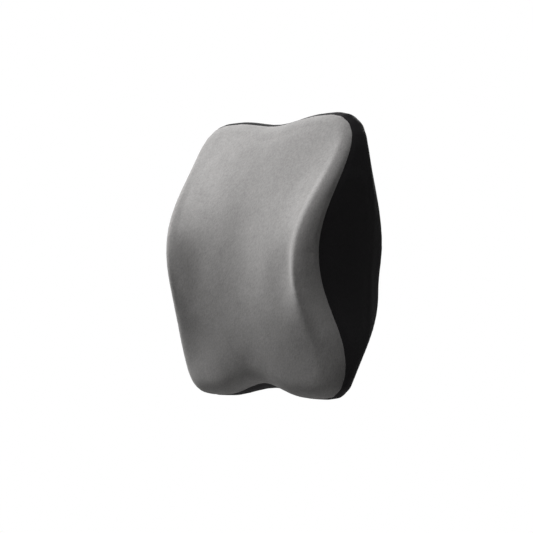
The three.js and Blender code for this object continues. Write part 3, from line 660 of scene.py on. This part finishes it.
elastic, elastic_shader = new_material("woven_elastic", 0.8)
along_strap = add_node(elastic, "ShaderNodeAttribute", attribute_name="along")
strap_place = add_node(elastic, "ShaderNodeSeparateXYZ")
wire(elastic, object_coordinates(elastic), strap_place.inputs["Vector"])
weft = ripple(elastic, along_strap.outputs["Fac"], WEFT_PITCH)
warp = ripple(elastic, strap_place.outputs["Z"], WARP_PITCH)
weave = maths(elastic, "ADD", maths(elastic, "MULTIPLY", weft, 0.45), maths(elastic, "ABSOLUTE", warp, 0))
fluff = noise(elastic, object_coordinates(elastic), 900)
tone = maths(elastic, "ADD", maths(elastic, "MULTIPLY", weave, 0.25), fluff)
elastic_tones = [(0.3, (0.012, 0.011, 0.0125)), (0.9, (0.034, 0.032, 0.035))]
wire(elastic, shade(elastic, tone, elastic_tones), elastic_shader.inputs["Base Color"])
elastic_shader.inputs["Specular IOR Level"].default_value = 0.3
bump(elastic, elastic_shader, weave, 0.00018, 0.7)


def strap_y(x):
    """Height of the strap's inner layer over the back."""
    rise = max(0.0, min(1.0, (TAB_START - abs(x)) / (TAB_START - RUN)))
    lifted = 1 - hump(rise)
    return TAB_Y + (LOOP_OUT - LAYERS_APART / 2 - TAB_Y) * lifted


def outer_point(x, away):
    """The point that lies away from the strap's inner layer, square to it."""
    slope = (strap_y(x + 1e-5) - strap_y(x - 1e-5)) / 2e-5
    return Vector((x, strap_y(x), 0)) + Vector((-slope, 1, 0)).normalized() * away


def strap_line(bar, tail):
    """From the sewn end, round the buckle bar, and back to the tail."""
    tab = TAB_END - TAB_START
    line = [Vector((TAB_END - tab * k / TAB_STEPS, TAB_Y, 0)) for k in range(TAB_STEPS)]
    rise = RUN - TAB_START
    line += [outer_point(TAB_START + rise * k / RISE_STEPS, 0) for k in range(RISE_STEPS + 1)]
    turn = BAR * math.sqrt(0.5) + PLAY + STRAP_THICKNESS / 2
    near = LAYERS_APART / 2
    lead = near + (turn - near) * LEAD_SHARE
    line.append(Vector((bar + LEAD_FAR, LOOP_OUT - near, 0)))
    line.append(Vector((bar + LEAD_NEAR, LOOP_OUT - lead, 0)))
    for k in range(TURN_STEPS + 1):
        angle = -math.pi / 2 - math.pi * k / TURN_STEPS
        line.append(Vector((bar + turn * math.cos(angle), LOOP_OUT + turn * math.sin(angle), 0)))
    line.append(Vector((bar + LEAD_NEAR, LOOP_OUT + lead, 0)))
    line.append(Vector((bar + LEAD_FAR, LOOP_OUT + near, 0)))
    steps = max(2, round((tail - RUN) / 0.002))
    line += [outer_point(RUN + (tail - RUN) * k / steps, LAYERS_APART) for k in range(steps + 1)]
    return line


def ribbon(name, line, width, thickness, material):
    """A woven ribbon swept along a line in the x, y plane, with rounded selvedges."""
    bm = bmesh.new()
    reach = bm.verts.layers.float.new("along")
    section = bmesh.ops.create_circle(bm, segments=20, radius=1)["verts"]
    for vert in section:
        across = math.copysign(abs(vert.co.x) ** 0.35, vert.co.x)
        through = math.copysign(abs(vert.co.y) ** 0.6, vert.co.y)
        vert.co = Vector((0, through * thickness / 2, across * width / 2))

    def frame_at(k):
        ahead = line[min(k + 1, len(line) - 1)] - line[max(k - 1, 0)]
        direction = ahead.normalized()
        out = Vector((-direction.y, direction.x, 0))
        turned = Matrix((direction, out, Vector((0, 0, 1)))).transposed().to_4x4()
        return Matrix.Translation(line[k]) @ turned

    bmesh.ops.transform(bm, matrix=frame_at(0), verts=section)
    edges = bm.edges[:]
    travelled = 0.0
    for k in range(1, len(line)):
        travelled += (line[k] - line[k - 1]).length
        grown = bmesh.ops.extrude_edge_only(bm, edges=edges)["geom"]
        verts = [item for item in grown if isinstance(item, bmesh.types.BMVert)]
        edges = [item for item in grown if isinstance(item, bmesh.types.BMEdge)]
        bmesh.ops.transform(bm, matrix=frame_at(k) @ frame_at(k - 1).inverted(), verts=verts)
        for vert in verts:
            vert[reach] = travelled
    bmesh.ops.holes_fill(bm, edges=[edge for edge in bm.edges if edge.is_boundary], sides=0)
    bmesh.ops.recalc_face_normals(bm, faces=bm.faces)
    for face in bm.faces:
        face.smooth = len(face.verts) == 4
    made = object_from(bm, name)
    made.data.materials.append(material)
    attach(made, "pillow")
    return made


left_line = [Vector((-p.x, p.y, 0)) for p in strap_line(SOCKET_BAR_X, LEFT_TAIL_X)]
right_line = strap_line(PLUG_BAR_X, RIGHT_TAIL_X)
left_strap = ribbon("elastic_left", left_line, STRAP_WIDTH, STRAP_THICKNESS, elastic)
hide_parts("strap_left")
right_strap = ribbon("elastic_right", right_line, STRAP_WIDTH, STRAP_THICKNESS, elastic)
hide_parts("strap_right")

# Tail keeper
# A narrow loop of the same elastic round both layers of the right strap, which holds down the
# loose tail.
KEEPER_X = 0.050
KEEPER_LENGTH = 0.006
KEEPER_WALL = 0.001
KEEPER_ROUNDING = 0.0003
KEEPER_STEPS = 6


def tail_keeper():
    """The keeper's loop, tilted as the strap is there."""
    inside_y = 2 * STRAP_THICKNESS + 3 * PLAY
    inside_z = STRAP_WIDTH + 2 * PLAY
    slope = (strap_y(KEEPER_X + 1e-4) - strap_y(KEEPER_X - 1e-4)) / 2e-4
    tilt = math.atan(slope)
    bm = bmesh.new()
    ring = bmesh.ops.create_circle(bm, segments=48, radius=1)["verts"]
    for vert in ring:
        up = math.copysign(abs(vert.co.x) ** 0.18, vert.co.x)
        out = math.copysign(abs(vert.co.y) ** 0.18, vert.co.y)
        vert.co = Vector((-KEEPER_LENGTH / 2, out * inside_y / 2, up * inside_z / 2))
    edges = bm.edges[:]
    for _ in range(KEEPER_STEPS):
        grown = bmesh.ops.extrude_edge_only(bm, edges=edges)["geom"]
        edges = [item for item in grown if isinstance(item, bmesh.types.BMEdge)]
        verts = [item for item in grown if isinstance(item, bmesh.types.BMVert)]
        bmesh.ops.translate(bm, vec=(KEEPER_LENGTH / KEEPER_STEPS, 0, 0), verts=verts)
    bmesh.ops.recalc_face_normals(bm, faces=bm.faces)
    place = Matrix.Translation(outer_point(KEEPER_X, LAYERS_APART / 2)) @ Matrix.Rotation(tilt, 4, "Z")
    bmesh.ops.transform(bm, matrix=place, verts=bm.verts)
    loop = object_from(bm, "keeper_loop")
    wall = {"thickness": KEEPER_WALL, "offset": 1, "use_even_offset": True}
    rounded = {"width": KEEPER_ROUNDING, "segments": 2, "limit_method": "ANGLE", "angle_limit": SHARP}
    loop.data = applied(loop, ("SOLIDIFY", wall), ("BEVEL", rounded))
    loop.data.materials.clear()
    loop.data.materials.append(elastic)
    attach(loop, "pillow")
    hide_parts("tail_keeper")


tail_keeper()

# Buckle
# A side-release buckle: the plug's two arms click into the socket. Both halves are moulded in
# black acetal, with the fine grain of a spark-eroded tool.
acetal = moulded("grained_acetal", (0.014, 0.014, 0.015), (0.021, 0.021, 0.022), 0.42)
for node in ("buckle_socket", "buckle_plug"):
    dress(node, acetal)

# Stitching
# Black polyester thread: two rows along the zipper, a box with a cross through it on each sewn
# strap end, and two bars across the left strap where it is sewn back on itself.
STITCH = 0.0022
STITCH_GAP = 0.0008
THREAD = 0.00045
BOX_INNER = 0.0665
BOX_OUTER = 0.0795
BOX_HALF = 0.0100
FOLD_BARS = (0.0385, 0.0405)
FOLD_BAR_HALF = 0.0105
ZIP_ROW = 0.0075  # from the zipper's middle to each row
ZIP_ROW_HALF = 0.0885
ZIP_STITCHES = 60
thread, thread_shader = new_material("black_thread", 0.6)
twist = noise(thread, object_coordinates(thread), 3000)
thread_tones = [(0.3, (0.022, 0.021, 0.022)), (0.7, (0.048, 0.046, 0.049))]
wire(thread, shade(thread, twist, thread_tones), thread_shader.inputs["Base Color"])


def stitch_run(bm, start, end, out):
    """A row of stitches from start to end, each a short rounded length of thread."""
    count = max(1, round((end - start).length / (STITCH + STITCH_GAP)))
    direction = (end - start).normalized()
    frame_of = Matrix((direction, out, direction.cross(out))).transposed().to_4x4()
    size = Matrix.Diagonal((STITCH / 2, THREAD / 2, THREAD / 2, 1))
    for k in range(count):
        place = Matrix.Translation(start.lerp(end, (k + 0.5) / count))
        bmesh.ops.create_icosphere(bm, subdivisions=1, radius=1, matrix=place @ frame_of @ size)


def stitched(name, draw):
    """An object of thread, from a function that draws its stitches."""
    bm = bmesh.new()
    draw(bm)
    for face in bm.faces:
        face.smooth = True
    made = object_from(bm, name)
    made.data.materials.append(thread)
    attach(made, "pillow")


def boxed_cross(bm, x0, x1):
    """A box with a cross through it, from x0 to x1."""
    y = TAB_Y + STRAP_THICKNESS / 2 + THREAD / 4
    places = ((x0, -BOX_HALF), (x1, -BOX_HALF), (x1, BOX_HALF), (x0, BOX_HALF))
    corners = [Vector((x, y, z)) for x, z in places]
    out = Vector((0, 1, 0))
    for k in range(4):
        stitch_run(bm, corners[k], corners[(k + 1) % 4], out)
    stitch_run(bm, corners[0], corners[2], out)
    stitch_run(bm, corners[1], corners[3], out)


stitched("strap_stitches_left", lambda bm: boxed_cross(bm, -BOX_OUTER, -BOX_INNER))
stitched("strap_stitches_right", lambda bm: boxed_cross(bm, BOX_INNER, BOX_OUTER))


def fold_bars(bm):
    """Bars across the left strap, through both layers."""
    for x in FOLD_BARS:
        place = outer_point(x, LAYERS_APART + STRAP_THICKNESS / 2 + THREAD / 4)
        start = Vector((-place.x, place.y, -FOLD_BAR_HALF))
        end = Vector((-place.x, place.y, FOLD_BAR_HALF))
        stitch_run(bm, start, end, Vector((0, 1, 0)))


stitched("fold_stitches", fold_bars)


def zipper_rows(bm):
    """A row on each side of the zipper, laid on the cover."""
    for panel, way in ((back_upper, 1), (back_lower, -1)):
        surface = BVHTree.FromObject(panel, bpy.context.evaluated_depsgraph_get())
        row = []
        for k in range(ZIP_STITCHES + 1):
            above = ZIP_PLACE + ZIP_UP * ZIP_ROW * way + ZIP_OUT * 0.02
            above += Vector((ZIP_ROW_HALF * (2 * k / ZIP_STITCHES - 1), 0, 0))
            hit = surface.ray_cast(above, -ZIP_OUT)[0]
            if hit is not None:
                row.append(hit + ZIP_OUT * THREAD / 4)
        for a, b in zip(row, row[1:]):
            stitch_run(bm, a, b, ZIP_OUT)


stitched("zipper_stitches", zipper_rows)

# Floor and light
# A plain pale studio: a wide floor well under the pillow, which hangs as it does in use, one large
# soft lamp from the left, a weaker one from high in front, and one from behind.
FLOOR_Z = -0.62
FLOOR_SIZE = 8.0
FLOOR_GREY = 0.20
FADE_START = 0.7  # from the floor's middle
FADE_END = 2.6
GLOW_AT_MIDDLE = 0.80  # share of pure white in what the eye sees
WORLD_LIGHT = 0.03


def seen_by_eye(tree):
    """1 for rays that look at the surface itself, in a mirror or through glass, and 0 for light."""
    path = tree.nodes.new("ShaderNodeLightPath")
    either = tree.nodes.new("ShaderNodeMath")
    either.operation = "MAXIMUM"
    tree.links.new(path.outputs["Is Camera Ray"], either.inputs[0])
    tree.links.new(path.outputs["Is Glossy Ray"], either.inputs[1])
    all_three = tree.nodes.new("ShaderNodeMath")
    all_three.operation = "MAXIMUM"
    tree.links.new(either.outputs["Value"], all_three.inputs[0])
    tree.links.new(path.outputs["Is Transmission Ray"], all_three.inputs[1])
    return all_three.outputs["Value"]


paper, paper_shader = new_material("white_paper", 0.9)
paper_shader.inputs["Base Color"].default_value = (FLOOR_GREY, FLOOR_GREY, FLOOR_GREY, 1)
glow = add_node(paper, "ShaderNodeEmission", Color=(1, 1, 1, 1), Strength=1.0)
from_middle = add_node(paper, "ShaderNodeVectorMath", operation="LENGTH")
wire(paper, object_coordinates(paper), from_middle.inputs[0])
fade = add_node(paper, "ShaderNodeMapRange", interpolation_type="SMOOTHSTEP")
fade.inputs["From Min"].default_value = FADE_START
fade.inputs["From Max"].default_value = FADE_END
fade.inputs["To Min"].default_value = GLOW_AT_MIDDLE
wire(paper, from_middle.outputs["Value"], fade.inputs["Value"])
share = maths(paper, "MULTIPLY", seen_by_eye(paper.node_tree), fade.outputs["Result"])
blend = add_node(paper, "ShaderNodeMixShader")
wire(paper, share, blend.inputs["Fac"])
wire(paper, paper_shader.outputs["BSDF"], blend.inputs[1])
wire(paper, glow.outputs["Emission"], blend.inputs[2])
paper_end = paper.node_tree.nodes["Material Output"]
wire(paper, blend.outputs["Shader"], paper_end.inputs["Surface"])
ground = bmesh.new()
floor_place = Matrix.Translation((0, 0, FLOOR_Z))
bmesh.ops.create_grid(ground, x_segments=1, y_segments=1, size=FLOOR_SIZE / 2, matrix=floor_place)
floor = object_from(ground, "floor")
floor.data.materials.append(paper)

world = bpy.data.worlds.new("studio")
bpy.context.scene.world = world
world.use_nodes = True
tree = world.node_tree
dim = tree.nodes["Background"]
dim.inputs["Color"].default_value = (1, 1, 1, 1)
dim.inputs["Strength"].default_value = WORLD_LIGHT
bright = tree.nodes.new("ShaderNodeBackground")
bright.inputs["Color"].default_value = (1, 1, 1, 1)
bright.inputs["Strength"].default_value = 1.0
choose = tree.nodes.new("ShaderNodeMixShader")
path = tree.nodes.new("ShaderNodeLightPath")
tree.links.new(path.outputs["Is Camera Ray"], choose.inputs["Fac"])
tree.links.new(dim.outputs["Background"], choose.inputs[1])
tree.links.new(bright.outputs["Background"], choose.inputs[2])
tree.links.new(choose.outputs["Shader"], tree.nodes["World Output"].inputs["Surface"])


def lamp(name, direction, distance, size, level):
    """A round lamp that lights a white surface facing it to the given level."""
    light = bpy.data.lights.new(name, "AREA")
    light.shape = "DISK"
    light.size = size
    light.energy = level * (math.pi * distance) ** 2
    made = bpy.data.objects.new(name, light)
    bpy.context.scene.collection.objects.link(made)
    away = Vector(direction).normalized()
    made.location = MIDDLE + away * distance
    made.rotation_euler = away.to_track_quat("Z", "Y").to_euler()


lamp("key", (-0.83, -0.30, 0.47), 1.8, 0.9, 1.15)
lamp("high", (0.17, -0.47, 0.87), 1.8, 0.9, 0.60)
lamp("rear", (-0.45, 0.80, 0.45), 1.8, 1.0, 0.80)

# Camera
# A long lens at the photograph's viewing angle, from the front right and slightly below the
# pillow's own level.
AZIMUTH = math.radians(45.0)
ELEVATION = math.radians(-5.094)
ROLL = math.radians(3.164)
DISTANCE = 1.879
SENSOR = 36
LENS = 118.94
SHIFT = (-0.0219, -0.0180)
back = Vector(
    (
        math.sin(AZIMUTH) * math.cos(ELEVATION),
        -math.cos(AZIMUTH) * math.cos(ELEVATION),
        math.sin(ELEVATION),
    )
)
level = Vector((math.cos(AZIMUTH), math.sin(AZIMUTH), 0))
upright = back.cross(level)
right = level * math.cos(ROLL) + upright * math.sin(ROLL)
up = upright * math.cos(ROLL) - level * math.sin(ROLL)
camera = bpy.data.objects.new("camera", bpy.data.cameras.new("camera"))
bpy.context.scene.collection.objects.link(camera)
facing = Matrix((right, up, back)).transposed().to_4x4()
camera.matrix_world = Matrix.Translation(MIDDLE + back * DISTANCE) @ facing
camera.data.sensor_width = SENSOR
camera.data.lens = LENS
camera.data.shift_x, camera.data.shift_y = SHIFT
bpy.context.scene.camera = camera
bpy.context.scene.view_settings.view_transform = "Standard"
